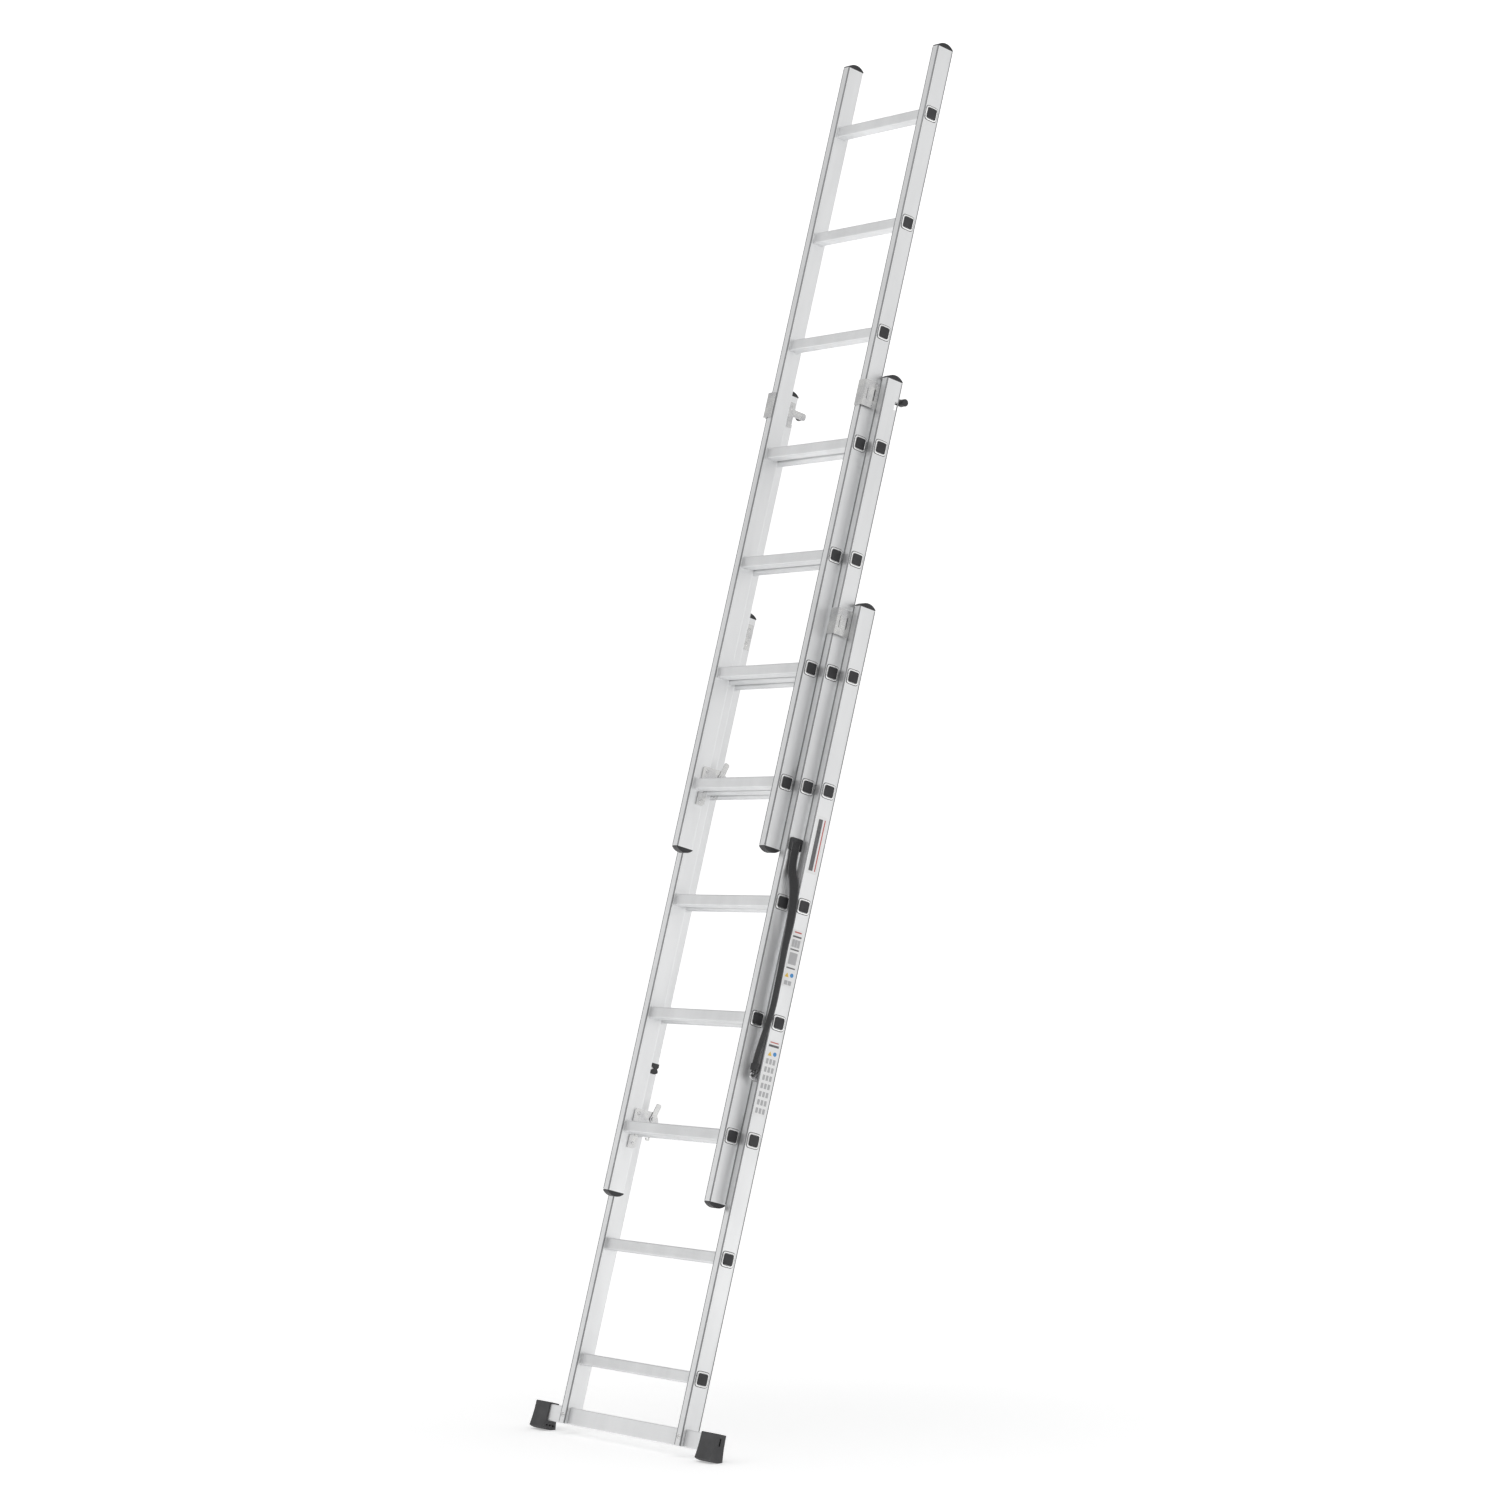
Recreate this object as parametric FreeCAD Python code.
import FreeCAD, Part
import math
import os

# Three-section aluminium extension ladder, 3 x 7 rungs, leaning at its climbing angle.
#
# Every section is drawn in ladder coordinates: x across, v towards the wall and w up the stiles,
# with w = 0 at the base section's first rung and v = 0 in the middle of the base stiles.
# The last step leans the finished piece about x and sets it on its two feet.

LEAN_DEG = 15.0
RUNG_PITCH = 280.0
RUNGS_PER_SECTION = 7

# Stiles: a hollow rectangular extrusion.
STILE_WIDTH = 21.0
STILE_DEPTH = 47.0
STILE_WALL = 1.8
STILE_CORNER_R = 3.0
STILE_BELOW_FIRST_RUNG = 158.0
STILE_ABOVE_LAST_RUNG = 170.0

# Sections: each slides in front of, and between, the stiles of the one behind it.
SECTION_OUTER_WIDTH = {"base": 504.0, "middle": 442.0, "fly": 380.0}
SECTION_STEP_FORWARD = 40.0
SECTION_V = {"base": 0.0, "middle": -SECTION_STEP_FORWARD, "fly": -2.0 * SECTION_STEP_FORWARD}
MIDDLE_RAISED_PITCHES = 2
FLY_RAISED_PITCHES = 3

# Rungs: a square tube, flared against both walls of the stile.
RUNG_SIZE = 27.0
RUNG_WALL = 1.6
RUNG_CORNER_R = 3.0
RUNG_COLLAR_SIZE = 32.0
RUNG_COLLAR_THICKNESS = 3.0
RUNG_LIP_SIZE = 34.0
RUNG_LIP_THICKNESS = 1.5
PLUG_HEAD_SIZE = 26.0
PLUG_HEAD_THICKNESS = 1.8
PLUG_DEPTH = 12.0
PLUG_CLEARANCE = 0.1

# End caps of the stiles.
CAP_FLANGE = 2.0
CAP_DOME = 10.0
CAP_INSERT = 14.0
CAP_CLEARANCE = 0.2

# Stabiliser bar through the feet of the base stiles.
BAR_HEIGHT = 40.0
BAR_DEPTH = 20.0
BAR_WALL = 2.0
BAR_CORNER_R = 2.5
BAR_V = -3.0
BAR_HALF_LENGTH = 371.0
SLOT_CLEARANCE = 0.5
SLOT_CORNER_R = 4.0
BOLT_RADIUS = 3.0
BOLT_HEAD_RADIUS = 5.5
BOLT_HEAD_HEIGHT = 3.0
NUT_ACROSS_CORNERS = 11.5
NUT_HEIGHT = 5.0

# Rubber feet on the ends of the bar.
FOOT_INNER_X = 316.0
FOOT_OUTER_X = 376.0
FOOT_WALL_FRONT = 3.5
FOOT_TOP_WALL = 3.5
FOOT_FLARE = 5.0
FOOT_SOLE_BELOW_BAR = 22.0
FOOT_ROCKER_R = 45.0
FOOT_FLAT_CUT = 0.28
FOOT_SLOT_WIDTH = 4.0
FOOT_SLOT_HEIGHT = 18.0
FOOT_HOLE_R = 2.6
FOOT_HOLE_DEPTH = 20.0
FOOT_HOLE_SPACING = 9.0

# Guide brackets: one strip of sheet steel at the top of each rear stile.
GUIDE_SHEET = 2.5
GUIDE_HEIGHT = 64.0
GUIDE_BELOW_STILE_TOP = 16.0
GUIDE_BACK_REACH = 18.0
GUIDE_FRONT_GAP = 1.0
GUIDE_WRAP_SHORT_OF_INNER_EDGE = 1.0
GUIDE_RIVET_V = 8.0
GUIDE_RIVET_EDGE = 14.0
EMBOSS_HEIGHT = 34.0
EMBOSS_DEPTH = 18.0
EMBOSS_RISE = 1.5
EMBOSS_SLOT = 3.5
REAR_ARM_HEIGHT = 18.0
REAR_ARM_REACH = 46.0
KNOB_RADIUS = 9.0
KNOB_LENGTH = 18.0
KNOB_BELOW_STILE_TOP = 41.0
NOTCH_DEPTH = 10.0
NOTCH_HEIGHT = 20.0
NOTCH_BELOW_STILE_TOP = 50.0

# Section hooks and their safety catches.
HOOK_SHEET = 3.0
HOOK_PLATE_FRONT = 2.0
HOOK_PLATE_HALF_HEIGHT = 48.0
HOOK_WING_V = 11.0
HOOK_WING_W = 25.0
HOOK_WING_R = 24.0
HOOK_LEG_BACK = 24.5
HOOK_LEG_LOW = -8.0
HOOK_SHOULDER_LOW = 16.0
HOOK_RUNG_SLACK = 0.6
HOOK_RIVET_V = 14.0
HOOK_RIVET_W = 37.0
CATCH_SHEET = 2.5
CATCH_GAP = 0.4
CATCH_PIVOT_V = 17.0
CATCH_PIVOT_W = 32.0
CATCH_BODY_R = 9.0
CATCH_PIN_R = 3.0
CATCH_LEG_FRONT = 14.5
CATCH_LEG_WIDTH = 4.0
CATCH_TOE_FRONT = 7.0
CATCH_TOE_BELOW_RUNG = 1.5
CATCH_TOE_HEIGHT = 7.0
CATCH_TAB_LENGTH = 40.0
CATCH_TAB_WIDTH = 14.0
CATCH_TAB_TILT_DEG = 15.0

# Rivets.
RIVET_RADIUS = 2.4
RIVET_HEAD_RADIUS = 4.5
RIVET_HEAD_HEIGHT = 1.6

# Spreader straps between the middle and the base section.
STRAP_LEVEL_PITCHES = 2.5
STRAP_WIDTH = 25.0
STRAP_THICKNESS = 1.6
ANCHOR_HEIGHT = 30.0
ANCHOR_DEPTH = 34.0
ANCHOR_THICKNESS = 6.0
ANCHOR_SLOT_RISE = 4.0
STRAP_TOP_X_OUT = 4.6
STRAP_BOTTOM_X = 241.5
STRAP_HOOK_TOP_GAP = 36.0
STRAP_TOP_V = -40.0
STRAP_LOW_V = -33.5
# The webbing's way down, from the anchor to the clip: height w, centre x and v, and how far its
# width is turned from the v axis towards the x axis, in degrees.
STRAP_WAY = (
    (1244.0, 225.6, -40.0, 0.0),
    (1208.0, 226.6, -35.5, 4.0),
    (1176.0, 244.0, -36.0, 42.0),
    (1130.0, 252.0, -31.8, 62.0),
    (1070.0, 254.5, -29.4, 76.0),
    (1021.0, 252.0, -28.0, 86.0),
    (949.0, 254.0, -27.4, 90.0),
    (889.0, 255.0, -27.4, 90.0),
    (846.0, 252.5, -28.0, 90.0),
    (800.0, 246.5, -30.5, 90.0),
)
STRAP_LOW_TURN_DEG = 90.0
CLIP_WIRE_R = 2.5
CLIP_BODY_HEIGHT = 16.0
CLIP_THICKNESS = 6.0
EYE_RADIUS = 7.0
EYE_WIRE_R = 2.0
EYE_PLATE = 2.0
KEEPER_DEPTH = 20.0
KEEPER_HEIGHT = 26.0
KEEPER_THICKNESS = 2.5
KEEPER_NOTCH = 8.0
KEEPER_V = 13.5
CLIP_SIDE_MARGIN = 1.0

# Derived lengths.
COS = math.cos(math.radians(LEAN_DEG))
SIN = math.sin(math.radians(LEAN_DEG))
LAST_RUNG = RUNG_PITCH * (RUNGS_PER_SECTION - 1)
FIRST_RUNG_W = {
    "base": 0.0,
    "middle": MIDDLE_RAISED_PITCHES * RUNG_PITCH,
    "fly": (MIDDLE_RAISED_PITCHES + FLY_RAISED_PITCHES) * RUNG_PITCH,
}
BAR_BOTTOM = -STILE_BELOW_FIRST_RUNG
BAR_TOP = BAR_BOTTOM + BAR_HEIGHT
SOLE_W = BAR_BOTTOM - FOOT_SOLE_BELOW_BAR
ROCKER_W = SOLE_W + FOOT_ROCKER_R
FLOOR_DROP = BAR_V * SIN - ROCKER_W * COS + FOOT_ROCKER_R - FOOT_FLAT_CUT
SIDES = {"left": -1.0, "right": 1.0}

os.makedirs("parts", exist_ok=True)


def vec(x, v, w):
    """A point in ladder coordinates."""
    return FreeCAD.Vector(x, v, w)


def box(x0, x1, v0, v1, w0, w1):
    """A block between the given planes, whichever order x0 and x1 come in."""
    low = min(x0, x1)
    return Part.makeBox(abs(x1 - x0), v1 - v0, w1 - w0, vec(low, v0, w0))


def rounded_bar(x0, x1, v_mid, w_mid, depth, height, radius):
    """A bar along x with a rounded rectangular section."""
    low = min(x0, x1)
    length = abs(x1 - x0)
    bar = Part.makeBox(length, depth, height, vec(low, v_mid - depth / 2.0, w_mid - height / 2.0))
    edges = [e for e in bar.Edges if abs(e.tangentAt(e.FirstParameter).x) > 0.99]
    return bar.makeFillet(radius, edges)


def rounded_post(x_mid, v_mid, w0, w1, width, depth, radius):
    """A post along w with a rounded rectangular section."""
    post = Part.makeBox(width, depth, w1 - w0, vec(x_mid - width / 2.0, v_mid - depth / 2.0, w0))
    edges = [e for e in post.Edges if abs(e.tangentAt(e.FirstParameter).z) > 0.99]
    return post.makeFillet(radius, edges)


def plate(points, x0, x1):
    """A flat plate in the v-w plane: the closed outline `points`, between x0 and x1."""
    low = min(x0, x1)
    wire = Part.makePolygon([vec(low, v, w) for v, w in points + points[:1]])
    return Part.Face(wire).extrude(vec(abs(x1 - x0), 0, 0))


def pin_x(x0, x1, v, w, radius):
    """A round pin along x."""
    low = min(x0, x1)
    return Part.makeCylinder(radius, abs(x1 - x0), vec(low, v, w), vec(1, 0, 0))


def fuse(shapes):
    """One solid from touching or overlapping shapes."""
    solid = shapes[0]
    for other in shapes[1:]:
        solid = solid.fuse(other)
    return solid.removeSplitter()


def arc_points(v_mid, w_mid, radius, start_deg, end_deg, count):
    """Points along an arc in the v-w plane, both ends included."""
    points = []
    for i in range(count + 1):
        angle = math.radians(start_deg + (end_deg - start_deg) * i / count)
        points.append((v_mid + radius * math.cos(angle), w_mid + radius * math.sin(angle)))
    return points


def save(name, shapes):
    """Lean the piece (or group of separate pieces), set it on the floor and write it."""
    shape = shapes[0] if len(shapes) == 1 else Part.makeCompound(shapes)
    shape = shape.copy()
    shape.rotate(FreeCAD.Vector(0, 0, 0), FreeCAD.Vector(1, 0, 0), -LEAN_DEG)
    shape.translate(FreeCAD.Vector(0, Y_SHIFT, FLOOR_DROP))
    shape.exportStep("parts/" + name + ".step")


def outer_x(section, side):
    """The outer face of a section's stile."""
    return side * SECTION_OUTER_WIDTH[section] / 2.0


def inner_x(section, side):
    """The inner face of a section's stile."""
    return side * (SECTION_OUTER_WIDTH[section] / 2.0 - STILE_WIDTH)


def stile_top(section):
    """The cut top end of a section's stiles."""
    return FIRST_RUNG_W[section] + LAST_RUNG + STILE_ABOVE_LAST_RUNG


def rivet(head_x, far_x, v, w):
    """A round-headed rivet: the head stands on head_x and the shank ends at far_x."""
    away = 1.0 if head_x > far_x else -1.0
    shank = pin_x(head_x, far_x, v, w, RIVET_RADIUS)
    head = Part.makeCone(
        RIVET_HEAD_RADIUS,
        RIVET_HEAD_RADIUS * 0.6,
        RIVET_HEAD_HEIGHT,
        vec(head_x, v, w),
        vec(away, 0, 0),
    )
    return fuse([shank, head])


def make_stile(section, side):
    """Hollow stile with a square hole through both walls at every rung."""
    v_mid = SECTION_V[section]
    first = FIRST_RUNG_W[section]
    low = first - STILE_BELOW_FIRST_RUNG
    high = stile_top(section)
    x_mid = (outer_x(section, side) + inner_x(section, side)) / 2.0
    tube = rounded_post(x_mid, v_mid, low, high, STILE_WIDTH, STILE_DEPTH, STILE_CORNER_R)
    hollow = rounded_post(
        x_mid,
        v_mid,
        low - 1.0,
        high + 1.0,
        STILE_WIDTH - 2.0 * STILE_WALL,
        STILE_DEPTH - 2.0 * STILE_WALL,
        STILE_CORNER_R - STILE_WALL,
    )
    cuts = [hollow]
    for i in range(RUNGS_PER_SECTION):
        w = first + i * RUNG_PITCH
        cuts.append(
            rounded_bar(
                inner_x(section, side) - side,
                outer_x(section, side) + side,
                v_mid,
                w,
                RUNG_SIZE,
                RUNG_SIZE,
                RUNG_CORNER_R,
            )
        )
    if section == "base":
        slot_top = BAR_TOP + SLOT_CLEARANCE
        slot = rounded_bar(
            inner_x(section, side) - side,
            outer_x(section, side) + side,
            BAR_V,
            slot_top - BAR_HEIGHT,
            BAR_DEPTH + 2.0 * SLOT_CLEARANCE,
            2.0 * BAR_HEIGHT,
            SLOT_CORNER_R,
        )
        cuts.append(slot)
        bolt_w = (BAR_BOTTOM + BAR_TOP) / 2.0
        cuts.append(
            Part.makeCylinder(
                BOLT_RADIUS, STILE_DEPTH + 2.0, vec(x_mid, -STILE_DEPTH / 2.0 - 1.0, bolt_w), vec(0, 1, 0)
            )
        )
    if section == "middle":
        notch_top = high - NOTCH_BELOW_STILE_TOP
        back = v_mid + STILE_DEPTH / 2.0
        cuts.append(
            box(
                inner_x(section, side) - side,
                outer_x(section, side) + side,
                back - NOTCH_DEPTH,
                back + 1.0,
                notch_top - NOTCH_HEIGHT,
                notch_top,
            )
        )
    for v, w in rivet_places(section):
        wall = inner_x(section, side)
        cuts.append(pin_x(wall - side, wall + side * (STILE_WALL + 1.0), v, w, RIVET_RADIUS))
    return tube.cut(Part.makeCompound(cuts))


def rivet_places(section):
    """Where rivets pass through a section's inner stile walls."""
    places = []
    v_mid = SECTION_V[section]
    if section in ("base", "middle"):
        low = stile_top(section) - GUIDE_BELOW_STILE_TOP - GUIDE_HEIGHT
        places.append((v_mid + GUIDE_RIVET_V, low + GUIDE_RIVET_EDGE))
        places.append((v_mid + GUIDE_RIVET_V, low + GUIDE_HEIGHT - GUIDE_RIVET_EDGE))
    if section in ("middle", "fly"):
        places.append((v_mid + HOOK_RIVET_V, FIRST_RUNG_W[section] + HOOK_RIVET_W))
        places.append((v_mid + HOOK_RIVET_V, FIRST_RUNG_W[section] - HOOK_RIVET_W))
    return places


def make_rung(section, index):
    """Square tube with a collar inside and a flared lip outside each stile."""
    v_mid = SECTION_V[section]
    w = FIRST_RUNG_W[section] + index * RUNG_PITCH
    end = outer_x(section, 1.0) + RUNG_LIP_THICKNESS
    pieces = [rounded_bar(-end, end, v_mid, w, RUNG_SIZE, RUNG_SIZE, RUNG_CORNER_R)]
    for side in SIDES.values():
        inner = inner_x(section, side)
        outer = outer_x(section, side)
        pieces.append(
            rounded_bar(
                inner - side * RUNG_COLLAR_THICKNESS,
                inner,
                v_mid,
                w,
                RUNG_COLLAR_SIZE,
                RUNG_COLLAR_SIZE,
                RUNG_CORNER_R + 2.0,
            )
        )
        pieces.append(
            rounded_bar(
                outer,
                outer + side * RUNG_LIP_THICKNESS,
                v_mid,
                w,
                RUNG_LIP_SIZE,
                RUNG_LIP_SIZE,
                RUNG_CORNER_R + 3.0,
            )
        )
    bore_size = RUNG_SIZE - 2.0 * RUNG_WALL
    bore = rounded_bar(-end - 1.0, end + 1.0, v_mid, w, bore_size, bore_size, RUNG_CORNER_R - RUNG_WALL)
    return fuse(pieces).cut(bore)


def make_plug(section, side, index):
    """Black push-in plug that closes one end of a rung."""
    v_mid = SECTION_V[section]
    w = FIRST_RUNG_W[section] + index * RUNG_PITCH
    seat = outer_x(section, side) + side * RUNG_LIP_THICKNESS
    stem_size = RUNG_SIZE - 2.0 * (RUNG_WALL + PLUG_CLEARANCE)
    head = rounded_bar(
        seat,
        seat + side * PLUG_HEAD_THICKNESS,
        v_mid,
        w,
        PLUG_HEAD_SIZE,
        PLUG_HEAD_SIZE,
        RUNG_CORNER_R,
    )
    stem = rounded_bar(seat - side * PLUG_DEPTH, seat, v_mid, w, stem_size, stem_size, 1.2)
    return fuse([head, stem])


def cap_outline(section, at_top):
    """Side view of a cap: a thin flange under an arch that spans the stile's depth."""
    v_mid = SECTION_V[section]
    up = 1.0 if at_top else -1.0
    seat = cap_seat(section, at_top)
    half = STILE_DEPTH / 2.0
    radius = (half * half + CAP_DOME * CAP_DOME) / (2.0 * CAP_DOME)
    spread = math.degrees(math.asin(half / radius))
    dome = arc_points(v_mid, CAP_FLANGE + CAP_DOME - radius, radius, 90.0 - spread, 90.0 + spread, 16)
    outline = [(v_mid + half, 0.0)] + dome + [(v_mid - half, 0.0)]
    return [(v, seat + up * w) for v, w in outline]


def cap_seat(section, at_top):
    """The cut end of the stile that a cap closes."""
    return stile_top(section) if at_top else FIRST_RUNG_W[section] - STILE_BELOW_FIRST_RUNG


def make_cap(section, side, at_top):
    """Arched plastic cap pushed into the end of a stile."""
    v_mid = SECTION_V[section]
    x_mid = (outer_x(section, side) + inner_x(section, side)) / 2.0
    up = 1.0 if at_top else -1.0
    seat = cap_seat(section, at_top)
    cover = plate(cap_outline(section, at_top), x_mid - STILE_WIDTH / 2.0, x_mid + STILE_WIDTH / 2.0)
    gap = 2.0 * (STILE_WALL + CAP_CLEARANCE)
    ends = sorted([seat, seat - up * CAP_INSERT])
    insert = rounded_post(x_mid, v_mid, ends[0], ends[1], STILE_WIDTH - gap, STILE_DEPTH - gap, 1.0)
    return fuse([cover, insert])


def make_bar():
    """Stabiliser bar: a rectangular tube that passes through both base stiles."""
    w_mid = (BAR_BOTTOM + BAR_TOP) / 2.0
    tube = rounded_bar(-BAR_HALF_LENGTH, BAR_HALF_LENGTH, BAR_V, w_mid, BAR_DEPTH, BAR_HEIGHT, BAR_CORNER_R)
    hollow = rounded_bar(
        -BAR_HALF_LENGTH - 1.0,
        BAR_HALF_LENGTH + 1.0,
        BAR_V,
        w_mid,
        BAR_DEPTH - 2.0 * BAR_WALL,
        BAR_HEIGHT - 2.0 * BAR_WALL,
        0.5,
    )
    cuts = [hollow]
    for side in SIDES.values():
        x_mid = (outer_x("base", side) + inner_x("base", side)) / 2.0
        cuts.append(Part.makeCylinder(BOLT_RADIUS, 60.0, vec(x_mid, -30.0, w_mid), vec(0, 1, 0)))
    return tube.cut(Part.makeCompound(cuts))


def make_bolt(side):
    """Button-head bolt through the front wall, the bar and the back wall."""
    x_mid = (outer_x("base", side) + inner_x("base", side)) / 2.0
    w_mid = (BAR_BOTTOM + BAR_TOP) / 2.0
    front = -STILE_DEPTH / 2.0
    shank = Part.makeCylinder(
        BOLT_RADIUS, STILE_DEPTH + NUT_HEIGHT + 1.0, vec(x_mid, front, w_mid), vec(0, 1, 0)
    )
    head = Part.makeCone(
        BOLT_HEAD_RADIUS, BOLT_HEAD_RADIUS * 0.7, BOLT_HEAD_HEIGHT, vec(x_mid, front, w_mid), vec(0, -1, 0)
    )
    return fuse([shank, head])


def make_nut(side):
    """Hexagon nut against the back wall of the stile."""
    x_mid = (outer_x("base", side) + inner_x("base", side)) / 2.0
    w_mid = (BAR_BOTTOM + BAR_TOP) / 2.0
    back = STILE_DEPTH / 2.0
    corners = []
    for i in range(7):
        angle = math.radians(60.0 * i)
        corners.append(
            vec(
                x_mid + NUT_ACROSS_CORNERS / 2.0 * math.cos(angle),
                back,
                w_mid + NUT_ACROSS_CORNERS / 2.0 * math.sin(angle),
            )
        )
    hexagon = Part.Face(Part.makePolygon(corners)).extrude(vec(0, NUT_HEIGHT, 0))
    hole = Part.makeCylinder(BOLT_RADIUS, NUT_HEIGHT + 2.0, vec(x_mid, back - 1.0, w_mid), vec(0, 1, 0))
    return hexagon.cut(hole)


def foot_outline():
    """Side view of a foot: an arched sole and walls that flare out towards it."""
    half_top = BAR_DEPTH / 2.0 + FOOT_WALL_FRONT
    half_sole = half_top + FOOT_FLARE
    top = BAR_TOP + FOOT_TOP_WALL
    swing = math.degrees(math.asin(half_sole / FOOT_ROCKER_R))
    sole = arc_points(BAR_V, ROCKER_W, FOOT_ROCKER_R, -90.0 - swing, -90.0 + swing, 20)
    side_height = top - sole[-1][1]
    right_wall = []
    steps = 8
    for i in range(1, steps + 1):
        share = i / steps
        flare = FOOT_FLARE * (1.0 - share) ** 2.2
        right_wall.append((BAR_V + half_top + flare, sole[-1][1] + side_height * share))
    left_wall = [(2.0 * BAR_V - v, w) for v, w in reversed(right_wall)]
    return sole + right_wall + left_wall


def make_foot(side):
    """Rubber foot: a cup over the end of the bar with flared walls and a rocker sole."""
    inner = side * FOOT_INNER_X
    outer = side * FOOT_OUTER_X
    top = BAR_TOP + FOOT_TOP_WALL
    body = plate(foot_outline(), inner, outer)
    edges = [e for e in body.Edges if abs(e.tangentAt(e.FirstParameter).x) > 0.99]
    top_edges = [e for e in edges if e.CenterOfMass.z > top - 0.1]
    body = body.makeFillet(2.0, top_edges)
    pocket = rounded_bar(
        inner - side,
        side * BAR_HALF_LENGTH,
        BAR_V,
        (BAR_BOTTOM + BAR_TOP) / 2.0,
        BAR_DEPTH,
        BAR_HEIGHT,
        BAR_CORNER_R,
    )
    slot = box(
        side * (BAR_HALF_LENGTH - 1.0),
        outer + side,
        BAR_V - FOOT_SLOT_WIDTH / 2.0,
        BAR_V + FOOT_SLOT_WIDTH / 2.0,
        BAR_TOP - 6.0 - FOOT_SLOT_HEIGHT,
        BAR_TOP - 6.0,
    )
    cuts = [pocket, slot]
    for i in (-1.0, 0.0, 1.0):
        v = BAR_V + i * FOOT_HOLE_SPACING
        w = SOLE_W + 11.0
        cuts.append(pin_x(inner - side, inner + side * FOOT_HOLE_DEPTH, v, w, FOOT_HOLE_R))
    foot = body.cut(Part.makeCompound(cuts))
    floor = Part.makeBox(200.0, 200.0, 60.0, vec(-100.0, -100.0, -60.0))
    floor.rotate(vec(0, 0, 0), vec(1, 0, 0), LEAN_DEG)
    contact_v = BAR_V + (FOOT_ROCKER_R - FOOT_FLAT_CUT) * SIN
    contact_w = ROCKER_W - (FOOT_ROCKER_R - FOOT_FLAT_CUT) * COS
    floor.translate(vec(side * (FOOT_INNER_X + FOOT_OUTER_X) / 2.0, contact_v, contact_w))
    return foot.cut(floor)


def make_guide(section, side):
    """Steel strip from the rear stile's inner face, along and round the front stile."""
    front_section = "middle" if section == "base" else "fly"
    wall = inner_x(section, side)
    high = stile_top(section) - GUIDE_BELOW_STILE_TOP
    low = high - GUIDE_HEIGHT
    v_rear = SECTION_V[section]
    v_face = SECTION_V[front_section] - STILE_DEPTH / 2.0 - GUIDE_FRONT_GAP
    v_tip = v_face - GUIDE_SHEET
    strip = box(wall - side * GUIDE_SHEET, wall, v_tip, v_rear + GUIDE_BACK_REACH, low, high)
    wrap_end = inner_x(front_section, side) + side * GUIDE_WRAP_SHORT_OF_INNER_EDGE
    wrap = box(wrap_end, wall, v_tip, v_face, low, high)
    w_mid = (low + high) / 2.0
    emboss_v = SECTION_V[front_section] - 8.0
    emboss = rounded_bar(
        wall - side * GUIDE_SHEET,
        wall + side * EMBOSS_RISE,
        emboss_v,
        w_mid,
        EMBOSS_DEPTH,
        EMBOSS_HEIGHT,
        5.0,
    )
    pieces = [strip, wrap, emboss]
    if section == "middle":
        arm_w = stile_top(section) - KNOB_BELOW_STILE_TOP
        arm_back = v_rear + REAR_ARM_REACH
        arm = rounded_bar(
            wall - side * GUIDE_SHEET,
            wall,
            (v_rear + arm_back + KNOB_RADIUS) / 2.0,
            arm_w,
            arm_back + KNOB_RADIUS - v_rear,
            REAR_ARM_HEIGHT,
            6.0,
        )
        pieces.append(arm)
    slot_v = emboss_v + EMBOSS_DEPTH / 2.0 + 1.0
    cuts = [
        box(
            wall - side * (GUIDE_SHEET + 1.0),
            wall + side * (EMBOSS_RISE + 1.0),
            slot_v,
            slot_v + EMBOSS_SLOT,
            w_mid - EMBOSS_HEIGHT / 2.0 + 3.0,
            w_mid + EMBOSS_HEIGHT / 2.0 - 3.0,
        )
    ]
    for v, w in rivet_places(section):
        if w > stile_top(section) - 200.0:
            cuts.append(pin_x(wall - side * (GUIDE_SHEET + 1.0), wall + side, v, w, RIVET_RADIUS))
    return fuse(pieces).cut(Part.makeCompound(cuts))


def make_knob(side):
    """Black knob on the rear arm of the middle section's guide."""
    wall = inner_x("middle", side)
    w = stile_top("middle") - KNOB_BELOW_STILE_TOP
    v = SECTION_V["middle"] + REAR_ARM_REACH
    knob = pin_x(wall, wall + side * KNOB_LENGTH, v, w, KNOB_RADIUS)
    rim = [e for e in knob.Edges if abs(e.CenterOfMass.x) > abs(wall) + KNOB_LENGTH - 1.0]
    return knob.makeFillet(2.0, rim)


def hook_centre(section):
    """Centre of the rear section's rung that the hooks sit on."""
    rear = "base" if section == "middle" else "middle"
    return SECTION_V[rear], FIRST_RUNG_W[section]


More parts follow.
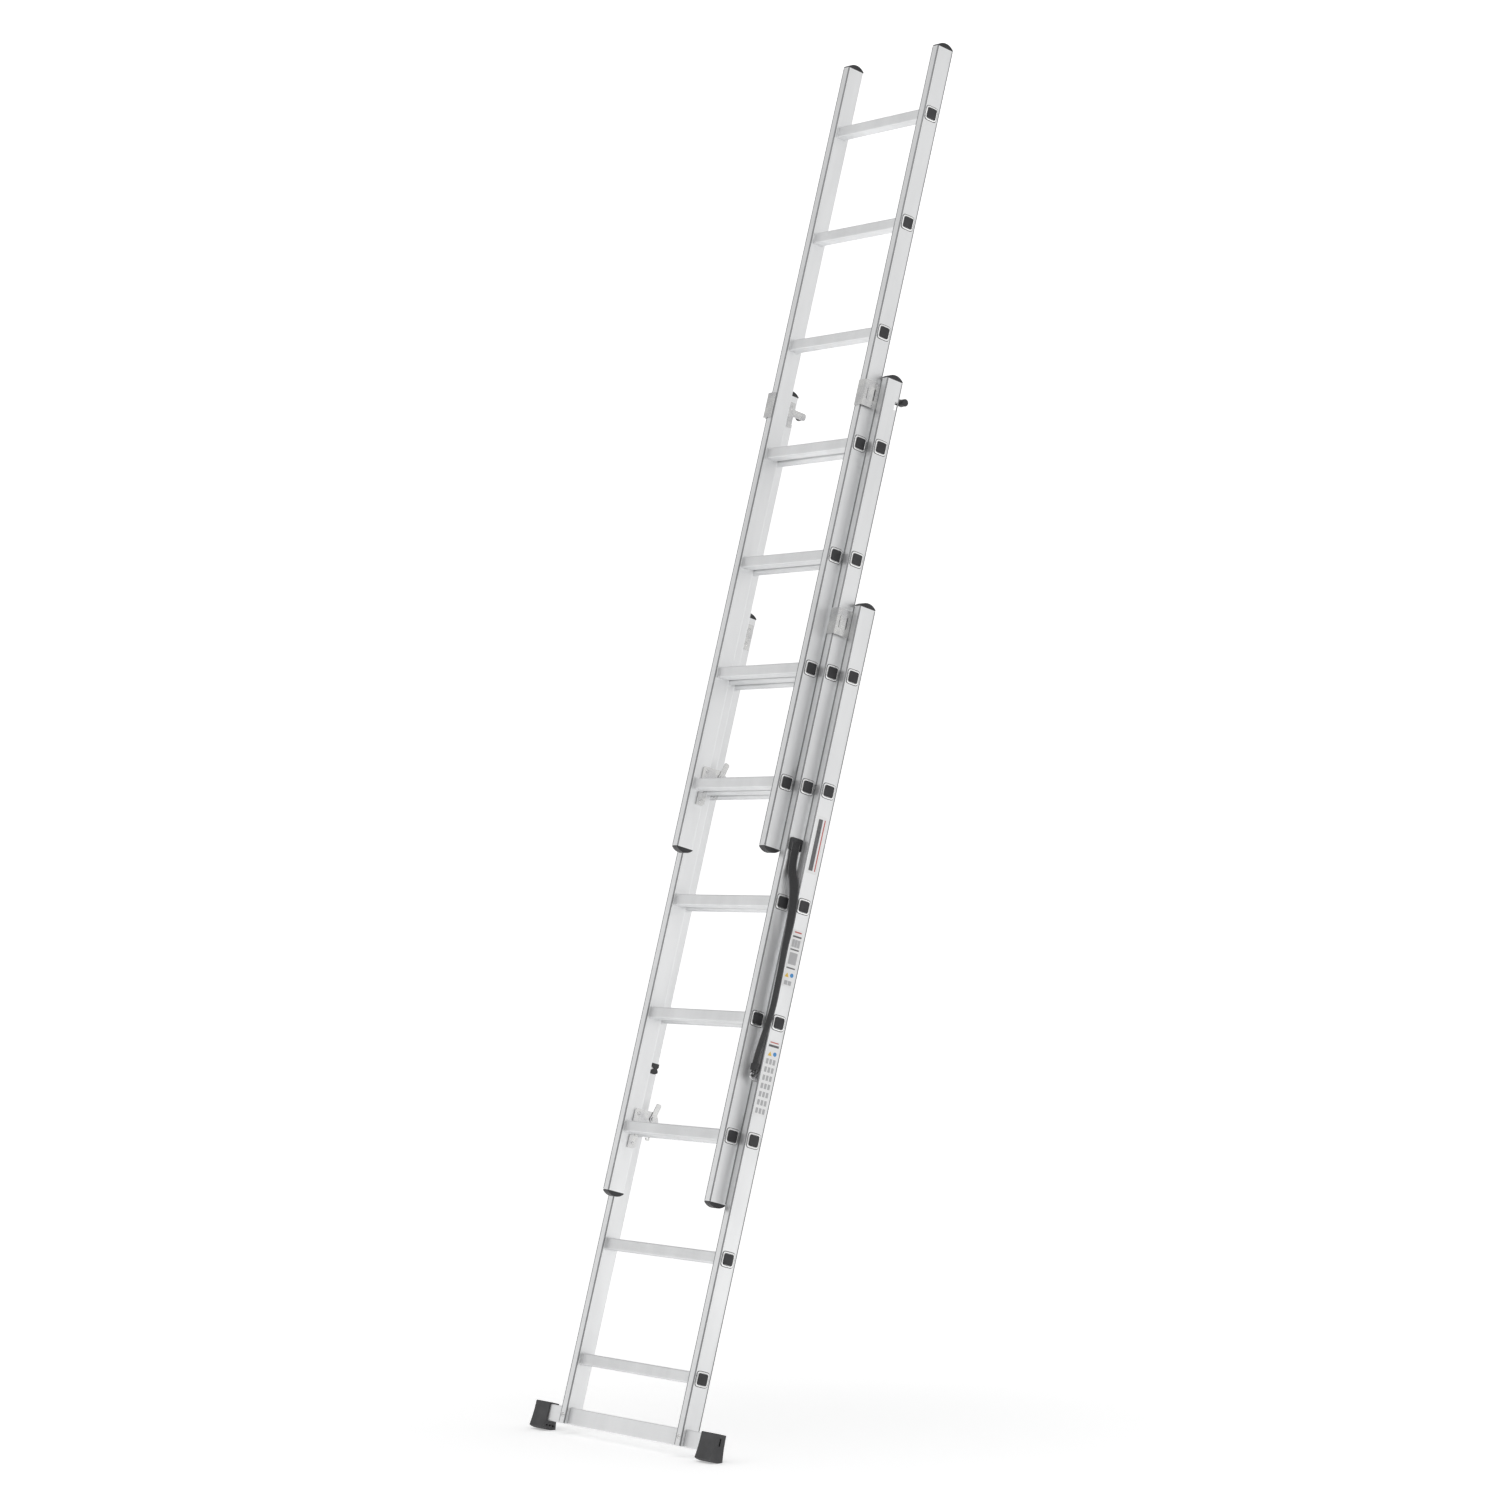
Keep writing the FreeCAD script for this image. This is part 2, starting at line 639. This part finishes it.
def make_hook(section, side):
    """Hook plate on the front stile's inner face, reaching back over the rear rung."""
    wall = inner_x(section, side)
    v_rung, w_rung = hook_centre(section)
    front = SECTION_V[section] + HOOK_PLATE_FRONT
    half = RUNG_SIZE / 2.0
    plate_back = v_rung - half - HOOK_RUNG_SLACK
    mouth_top = w_rung + half
    mouth_back = v_rung + half + HOOK_RUNG_SLACK
    wing = arc_points(v_rung + HOOK_WING_V, w_rung + HOOK_WING_W, HOOK_WING_R, 90.0, 0.0, 12)
    leg_back = v_rung + HOOK_LEG_BACK
    outline = [
        (front, w_rung - HOOK_PLATE_HALF_HEIGHT),
        (front, w_rung + HOOK_PLATE_HALF_HEIGHT - 4.0),
        (front + 4.0, w_rung + HOOK_PLATE_HALF_HEIGHT),
    ]
    outline += wing
    outline += [
        (v_rung + HOOK_WING_V + HOOK_WING_R - 2.0, w_rung + HOOK_SHOULDER_LOW),
        (leg_back, w_rung + HOOK_SHOULDER_LOW - 1.0),
        (leg_back, w_rung + HOOK_LEG_LOW),
        (leg_back - 4.0, w_rung + HOOK_LEG_LOW - 4.0),
        (mouth_back, w_rung + HOOK_LEG_LOW),
        (mouth_back, mouth_top),
        (plate_back, mouth_top),
        (plate_back, w_rung - HOOK_PLATE_HALF_HEIGHT + 6.0),
        (plate_back - 6.0, w_rung - HOOK_PLATE_HALF_HEIGHT),
    ]
    body = plate(outline, wall, wall - side * HOOK_SHEET)
    clear = RUNG_COLLAR_SIZE / 2.0 + 0.5
    v_own = SECTION_V[section]
    near = wall - side * (HOOK_SHEET + 1.0)
    cuts = [box(near, wall + side, v_own - clear, v_own + clear, w_rung - clear, w_rung + clear)]
    for v, w in rivet_places(section):
        if w < w_rung + 100.0:
            cuts.append(pin_x(wall - side * (HOOK_SHEET + 1.0), wall + side, v, w, RIVET_RADIUS))
    pivot_v = v_rung + CATCH_PIVOT_V
    pivot_w = w_rung + CATCH_PIVOT_W
    cuts.append(pin_x(wall - side * (HOOK_SHEET + 1.0), wall + side, pivot_v, pivot_w, CATCH_PIN_R))
    return body.cut(Part.makeCompound(cuts))


def make_pivot(section, side):
    """Shoulder rivet that the safety catch turns on."""
    wall = inner_x(section, side)
    v_rung, w_rung = hook_centre(section)
    v = v_rung + CATCH_PIVOT_V
    w = w_rung + CATCH_PIVOT_W
    near = wall - side * (HOOK_SHEET + CATCH_GAP + CATCH_SHEET + CATCH_GAP)
    shank = pin_x(wall, near, v, w, CATCH_PIN_R)
    head = pin_x(near, near - side * RIVET_HEAD_HEIGHT, v, w, CATCH_PIN_R + 2.0)
    tail = pin_x(wall, wall + side * 1.2, v, w, CATCH_PIN_R + 1.5)
    return fuse([shank, head, tail])


def make_catch(section, side):
    """Safety catch: thumb tab above, leg behind the rung and a toe below it."""
    wall = inner_x(section, side)
    v_rung, w_rung = hook_centre(section)
    x_far = wall - side * (HOOK_SHEET + CATCH_GAP)
    x_near = x_far - side * CATCH_SHEET
    pivot_v = v_rung + CATCH_PIVOT_V
    pivot_w = w_rung + CATCH_PIVOT_W
    half = RUNG_SIZE / 2.0
    leg_front = v_rung + CATCH_LEG_FRONT
    leg_back = leg_front + CATCH_LEG_WIDTH
    toe_top = w_rung - half - CATCH_TOE_BELOW_RUNG
    toe_low = toe_top - CATCH_TOE_HEIGHT
    leg = [
        (leg_front, pivot_w),
        (leg_front, toe_top - 3.0),
        (v_rung + CATCH_TOE_FRONT + 4.0, toe_top - 3.0),
        (v_rung + CATCH_TOE_FRONT + 4.0, toe_top),
        (v_rung + CATCH_TOE_FRONT, toe_top),
        (v_rung + CATCH_TOE_FRONT, toe_top - 4.0),
        (v_rung + CATCH_TOE_FRONT + 3.0, toe_low),
        (leg_back - 2.0, toe_low),
        (leg_back, toe_low + 2.0),
        (leg_back, w_rung + half),
        (pivot_v + CATCH_BODY_R - 1.0, pivot_w - 3.0),
        (pivot_v + CATCH_BODY_R - 1.0, pivot_w),
    ]
    boss = pin_x(x_far, x_near, pivot_v, pivot_w, CATCH_BODY_R)
    tab = rounded_bar(
        x_far,
        x_near,
        pivot_v - 1.0,
        pivot_w + CATCH_TAB_LENGTH / 2.0,
        CATCH_TAB_WIDTH,
        CATCH_TAB_LENGTH,
        5.0,
    )
    tab.rotate(vec(0, pivot_v, pivot_w), vec(1, 0, 0), -CATCH_TAB_TILT_DEG)
    body = fuse([plate(leg, x_far, x_near), boss, tab])
    hole = pin_x(x_far + side, x_near - side, pivot_v, pivot_w, CATCH_PIN_R + 0.15)
    return body.cut(hole)


def make_anchor(side):
    """Moulded strap anchor on the outer face of the middle stile."""
    face = outer_x("middle", side)
    w = FIRST_RUNG_W["middle"] + STRAP_LEVEL_PITCHES * RUNG_PITCH
    proud = face + side * ANCHOR_THICKNESS
    body = rounded_bar(face, proud, STRAP_TOP_V, w, ANCHOR_DEPTH, ANCHOR_HEIGHT, 4.0)
    slot = box(
        face + side,
        face + side * (ANCHOR_THICKNESS + 1.0),
        STRAP_TOP_V - STRAP_WIDTH / 2.0 - 0.5,
        STRAP_TOP_V + STRAP_WIDTH / 2.0 + 0.5,
        w - ANCHOR_HEIGHT / 2.0 - 1.0,
        w + ANCHOR_SLOT_RISE,
    )
    return body.cut(slot)


def strap_ends(side):
    """Centre of the webbing where it leaves the anchor and where it meets the clip."""
    level = STRAP_LEVEL_PITCHES * RUNG_PITCH
    top = (
        outer_x("middle", side) + side * STRAP_TOP_X_OUT,
        FIRST_RUNG_W["middle"] + level + ANCHOR_SLOT_RISE,
    )
    bottom = (side * STRAP_BOTTOM_X, level + STRAP_HOOK_TOP_GAP)
    return top, bottom


def strap_section(side, x, v, w, turn_deg):
    """The webbing's cross-section: its width along v, turned towards x by turn_deg."""
    turn = math.radians(turn_deg)
    corners = []
    for across, through in ((-0.5, -0.5), (0.5, -0.5), (0.5, 0.5), (-0.5, 0.5)):
        a = across * STRAP_WIDTH
        t = through * STRAP_THICKNESS
        corners.append(
            vec(
                side * (x + a * math.sin(turn) + t * math.cos(turn)),
                v + a * math.cos(turn) - t * math.sin(turn),
                w,
            )
        )
    return Part.makePolygon(corners + corners[:1])


def make_strap(side):
    """Flat webbing: down from the anchor, laid before the base stile's front face, to the clip."""
    (x_top, w_top), (x_low, w_low) = strap_ends(side)
    stations = [(w_top, abs(x_top), STRAP_TOP_V, 0.0)]
    stations.extend(STRAP_WAY)
    stations.append((w_low, abs(x_low), STRAP_LOW_V, STRAP_LOW_TURN_DEG))
    wires = [strap_section(side, x, v, w, turn) for w, x, v, turn in stations]
    return Part.makeLoft(wires, True, True)


def clip_ring_w():
    """Height of the middle of the clip's wire ring."""
    return STRAP_LEVEL_PITCHES * RUNG_PITCH + STRAP_HOOK_TOP_GAP - CLIP_BODY_HEIGHT - EYE_RADIUS


def make_clip(side):
    """Black clip at the lower end of the strap: a buckle facing the climber, with a wire ring."""
    x = side * STRAP_BOTTOM_X
    w_top = STRAP_LEVEL_PITCHES * RUNG_PITCH + STRAP_HOOK_TOP_GAP
    body = rounded_post(
        x,
        STRAP_LOW_V,
        w_top - CLIP_BODY_HEIGHT,
        w_top,
        STRAP_WIDTH + 2.0 * CLIP_SIDE_MARGIN,
        CLIP_THICKNESS,
        CLIP_THICKNESS / 3.0,
    )
    ring = Part.makeTorus(EYE_RADIUS, CLIP_WIRE_R, vec(x, STRAP_LOW_V, clip_ring_w()), vec(0, 1, 0))
    return fuse([body, ring])


def make_eye(side):
    """Upright eye on the front face of the base stile that the clip's ring hangs in."""
    x = (outer_x("base", side) + inner_x("base", side)) / 2.0
    front = -STILE_DEPTH / 2.0
    w = clip_ring_w() - EYE_RADIUS
    backing = box(x - 8.0, x + 8.0, front - EYE_PLATE, front, w - 12.0, w + 12.0)
    ring = Part.makeTorus(EYE_RADIUS, EYE_WIRE_R, vec(x, STRAP_LOW_V, w), vec(1, 0, 0))
    return backing.fuse(ring).removeSplitter()


def make_keeper(side):
    """Notched plate on the inner face of the base stile, where the eye's fixing comes through."""
    wall = inner_x("base", side)
    w = clip_ring_w() - EYE_RADIUS + KEEPER_NOTCH
    low = w - KEEPER_HEIGHT / 2.0
    high = w + KEEPER_HEIGHT / 2.0
    front = KEEPER_V - KEEPER_DEPTH / 2.0
    back = KEEPER_V + KEEPER_DEPTH / 2.0
    outline = (
        (front, low),
        (back - KEEPER_NOTCH, low),
        (back, low + KEEPER_NOTCH / 2.0),
        (back, w - KEEPER_NOTCH / 2.0),
        (back - KEEPER_NOTCH / 2.0, w),
        (back, w + KEEPER_NOTCH / 2.0),
        (back, high),
        (front, high),
        (front, w + KEEPER_NOTCH / 2.0),
        (front + KEEPER_NOTCH, w),
        (front, w - KEEPER_NOTCH / 2.0),
    )
    return plate(outline, wall - side * KEEPER_THICKNESS, wall)


# The front edge of the soles and the back of the fly's top caps are the leaning ladder's ends in y.
FRONT_Y = min(v * COS + w * SIN for v, w in foot_outline())
BACK_Y = max(v * COS + w * SIN for v, w in cap_outline("fly", True))
Y_SHIFT = -(FRONT_Y + BACK_Y) / 2.0

for side_name, side in SIDES.items():
    for section in ("base", "middle", "fly"):
        save(section + "_stile_" + side_name, [make_stile(section, side)])
    save("foot_" + side_name, [make_foot(side)])
    save("base_guide_" + side_name, [make_guide("base", side)])
    save("middle_guide_" + side_name, [make_guide("middle", side)])
    save("strap_" + side_name, [make_strap(side)])
    for section in ("middle", "fly"):
        save(section + "_hook_" + side_name, [make_hook(section, side)])
        save(section + "_catch_" + side_name, [make_catch(section, side)])

for section in ("base", "middle", "fly"):
    for index in range(RUNGS_PER_SECTION):
        save(section + "_rung_" + str(index + 1), [make_rung(section, index)])
    plugs = []
    for side in SIDES.values():
        for index in range(RUNGS_PER_SECTION):
            plugs.append(make_plug(section, side, index))
    save(section + "_rung_plugs", plugs)
    caps = []
    for side in SIDES.values():
        caps.append(make_cap(section, side, True))
        if section != "base":
            caps.append(make_cap(section, side, False))
    save(section + "_end_caps", caps)

for section in ("base", "middle", "fly"):
    rivets = []
    for side in SIDES.values():
        wall = inner_x(section, side)
        for v, w in rivet_places(section):
            low_down = w < FIRST_RUNG_W[section] + 100.0
            sheet = HOOK_SHEET if low_down else GUIDE_SHEET
            rivets.append(rivet(wall - side * sheet, wall + side * (STILE_WALL + 1.0), v, w))
        if section != "base":
            rivets.append(make_pivot(section, side))
    save(section + "_rivets", rivets)

save("stabiliser_bar", [make_bar()])
save("stabiliser_bolts", [make_bolt(side) for side in SIDES.values()])
save("stabiliser_nuts", [make_nut(side) for side in SIDES.values()])
save("rear_knobs", [make_knob(side) for side in SIDES.values()])
save("strap_anchors", [make_anchor(side) for side in SIDES.values()])
save("strap_clips", [make_clip(side) for side in SIDES.values()])
save("strap_eyes", [make_eye(side) for side in SIDES.values()])
save("strap_keepers", [make_keeper(side) for side in SIDES.values()])
